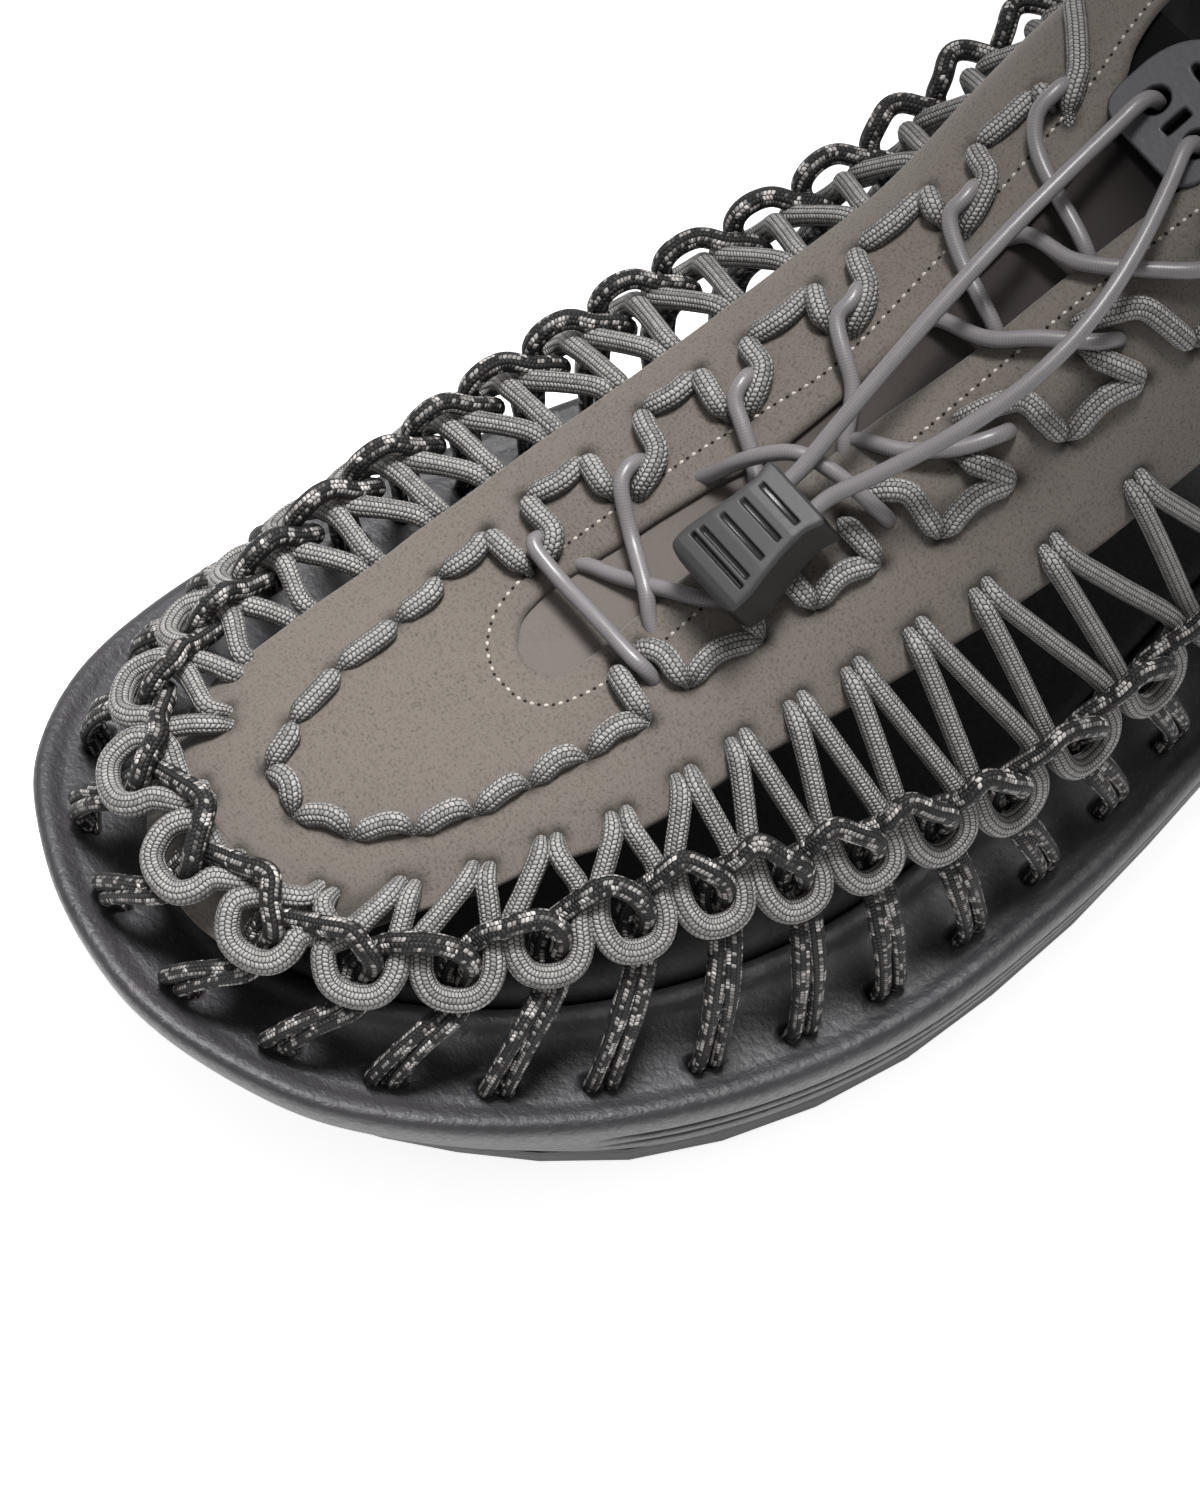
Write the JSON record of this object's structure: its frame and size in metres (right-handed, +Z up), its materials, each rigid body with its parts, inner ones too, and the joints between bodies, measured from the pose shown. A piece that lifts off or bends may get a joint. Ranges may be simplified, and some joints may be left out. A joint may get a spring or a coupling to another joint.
{
  "type": "woven sandal",
  "caption": "Low left-foot sandal whose upper is braided cord looped between a suede saddle and slots in a wide foam sole, closed by an elastic bungee and a cord lock.",
  "frame": {"origin": "centre of the footprint on the ground under the sole", "axes": "-Y to the toe, +X to the wearer's outer side, +Z up"},
  "size_m": [0.1184, 0.2872, 0.1075],
  "materials": {
    "outsole_rubber": "matte black rubber",
    "midsole_foam": "matte charcoal foam with a slight sheen on the rim",
    "footbed": "matte black microfibre",
    "suede": "taupe microfibre suede with a fine nap",
    "grey_cord": "round braided polyester cord, grey with pale flecks",
    "black_cord": "round braided polyester cord, black with pale tracer flecks",
    "lining": "soft dark grey lining",
    "bungee": "smooth covered elastic, lilac grey",
    "lock_plastic": "satin black moulded plastic",
    "plate_plastic": "slate grey moulded plastic"
  },
  "bodies": {
    "root": {"outsole": "outsole_rubber", "midsole": "midsole_foam", "insole": "footbed", "vamp": "suede", "heel_counter": "suede", "web_cord": "grey_cord", "anchor_cord": "black_cord", "trim_cord": "grey_cord", "tongue": "lining", "lace_crossings": "bungee", "lace_run_inner": "bungee", "lace_run_outer": "bungee", "cord_lock": "lock_plastic", "lace_plate": "plate_plastic"}
  },
  "joints": []
}
